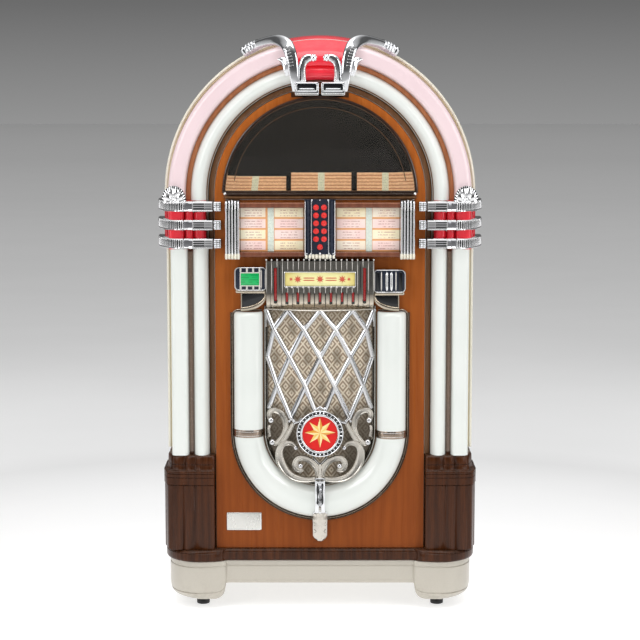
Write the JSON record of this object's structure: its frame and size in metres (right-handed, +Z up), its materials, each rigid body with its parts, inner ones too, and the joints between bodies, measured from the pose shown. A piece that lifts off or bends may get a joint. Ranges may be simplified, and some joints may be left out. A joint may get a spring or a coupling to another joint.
{
  "type": "jukebox",
  "caption": "Arched-top compact-disc jukebox: a hinged front with a keypad, title rack and lattice grille between lit plastic columns, on a plinth with levelling glides.",
  "frame": {"origin": "middle of the footprint at floor level, under the levelling glides", "axes": "+Z up, the front door faces -Y, +X to the right of a person who faces the front"},
  "size_m": [0.8664, 0.6897, 1.524],
  "materials": {
    "shell_wood": "satin lacquered veneer",
    "door_wood": "satin lacquered veneer, upright grain",
    "dark_wood": "gloss dark walnut lacquer",
    "frame_brown": "satin brown",
    "dark_metal": "black satin paint",
    "chrome": "polished",
    "white_plastic": "translucent white gloss",
    "pink_plastic": "translucent pale pink gloss",
    "red_plastic": "translucent red gloss",
    "cream_moulding": "cream gloss",
    "clear_tube": "clear liquid tube",
    "window_glass": "clear",
    "card_paper": "printed card",
    "grille_cloth": "woven diaper cloth",
    "medallion_enamel": "red and gold enamel",
    "satin_paint": "satin champagne silver",
    "steel": "zinc plated",
    "magazine_plastic": "black"
  },
  "bodies": {
    "cabinet": {"cabinet_carcass": "shell_wood", "back_panel": "dark_metal", "front_frame": "frame_brown", "arch_outer_left": "pink_plastic", "arch_inner_left": "white_plastic", "column_outer_left": "white_plastic", "column_inner_left": "white_plastic", "collar_left": "red_plastic", "bubble_tube_left": "clear_tube", "band_lower_left": "chrome", "band_middle_left": "chrome", "band_upper_left": "chrome", "crown_casting_left": "chrome", "pilaster_base_left": "dark_wood", "arch_outer_right": "pink_plastic", "arch_inner_right": "white_plastic", "column_outer_right": "white_plastic", "column_inner_right": "white_plastic", "collar_right": "red_plastic", "bubble_tube_right": "clear_tube", "band_lower_right": "chrome", "band_middle_right": "chrome", "band_upper_right": "chrome", "crown_casting_right": "chrome", "pilaster_base_right": "dark_wood", "keystone": "red_plastic", "outer_moulding": "cream_moulding", "plinth_moulding": "dark_wood", "base_skirt": "satin_paint", "disc_mechanism": "steel"},
    "front_door": {"door_panel": "door_wood", "window_bezel": "dark_metal", "window_glass": "window_glass", "title_rack": "dark_wood", "title_cards": "card_paper", "bracket_left": "chrome", "bracket_right": "chrome", "keypad_housing": "chrome", "escutcheon": "chrome", "u_plastic": "white_plastic", "grille_casting": "chrome", "grille_cloth": "grille_cloth", "medallion": "medallion_enamel", "drop_casting": "chrome"},
    "disc_carousel": {"disc_carousel": "magazine_plastic"},
    "glide_front_left": {"glide_front_left": "dark_metal"},
    "glide_front_right": {"glide_front_right": "dark_metal"},
    "glide_rear_left": {"glide_rear_left": "dark_metal"},
    "glide_rear_right": {"glide_rear_right": "dark_metal"},
    "button_01": {"button_01": "red_plastic"},
    "button_02": {"button_02": "red_plastic"},
    "button_03": {"button_03": "red_plastic"},
    "button_04": {"button_04": "red_plastic"},
    "button_05": {"button_05": "red_plastic"},
    "button_06": {"button_06": "red_plastic"},
    "button_07": {"button_07": "red_plastic"},
    "button_08": {"button_08": "red_plastic"},
    "button_09": {"button_09": "red_plastic"},
    "button_10": {"button_10": "red_plastic"},
    "button_11": {"button_11": "red_plastic"}
  },
  "joints": [
    {"name": "front_door_hinge", "type": "hinge", "parent": "cabinet", "child": "front_door", "pos_m": [-0.2795, -0.32, 0.75], "axis": [0, 0, -1], "range_deg": [0, 105]},
    {"name": "carousel_turn", "type": "hinge", "parent": "cabinet", "child": "disc_carousel", "pos_m": [0, 0.09, 1], "axis": [0, 0, 1], "continuous": true},
    {"name": "glide_front_left_turn", "type": "hinge", "parent": "cabinet", "child": "glide_front_left", "pos_m": [-0.316, -0.24, 0.03], "axis": [0, 0, 1], "continuous": true},
    {"name": "glide_front_right_turn", "type": "hinge", "parent": "cabinet", "child": "glide_front_right", "pos_m": [0.316, -0.24, 0.03], "axis": [0, 0, 1], "continuous": true},
    {"name": "glide_rear_left_turn", "type": "hinge", "parent": "cabinet", "child": "glide_rear_left", "pos_m": [-0.316, 0.24, 0.03], "axis": [0, 0, 1], "continuous": true},
    {"name": "glide_rear_right_turn", "type": "hinge", "parent": "cabinet", "child": "glide_rear_right", "pos_m": [0.316, 0.24, 0.03], "axis": [0, 0, 1], "continuous": true},
    {"name": "button_01_press", "type": "slide", "parent": "front_door", "child": "button_01", "axis": [0, 1, 0], "range_m": [0, 0.0025], "stiffness_N_per_m": 300},
    {"name": "button_02_press", "type": "slide", "parent": "front_door", "child": "button_02", "axis": [0, 1, 0], "range_m": [0, 0.0025], "stiffness_N_per_m": 300},
    {"name": "button_03_press", "type": "slide", "parent": "front_door", "child": "button_03", "axis": [0, 1, 0], "range_m": [0, 0.0025], "stiffness_N_per_m": 300},
    {"name": "button_04_press", "type": "slide", "parent": "front_door", "child": "button_04", "axis": [0, 1, 0], "range_m": [0, 0.0025], "stiffness_N_per_m": 300},
    {"name": "button_05_press", "type": "slide", "parent": "front_door", "child": "button_05", "axis": [0, 1, 0], "range_m": [0, 0.0025], "stiffness_N_per_m": 300},
    {"name": "button_06_press", "type": "slide", "parent": "front_door", "child": "button_06", "axis": [0, 1, 0], "range_m": [0, 0.0025], "stiffness_N_per_m": 300},
    {"name": "button_07_press", "type": "slide", "parent": "front_door", "child": "button_07", "axis": [0, 1, 0], "range_m": [0, 0.0025], "stiffness_N_per_m": 300},
    {"name": "button_08_press", "type": "slide", "parent": "front_door", "child": "button_08", "axis": [0, 1, 0], "range_m": [0, 0.0025], "stiffness_N_per_m": 300},
    {"name": "button_09_press", "type": "slide", "parent": "front_door", "child": "button_09", "axis": [0, 1, 0], "range_m": [0, 0.0025], "stiffness_N_per_m": 300},
    {"name": "button_10_press", "type": "slide", "parent": "front_door", "child": "button_10", "axis": [0, 1, 0], "range_m": [0, 0.0025], "stiffness_N_per_m": 300},
    {"name": "button_11_press", "type": "slide", "parent": "front_door", "child": "button_11", "axis": [0, 1, 0], "range_m": [0, 0.0025], "stiffness_N_per_m": 300}
  ]
}
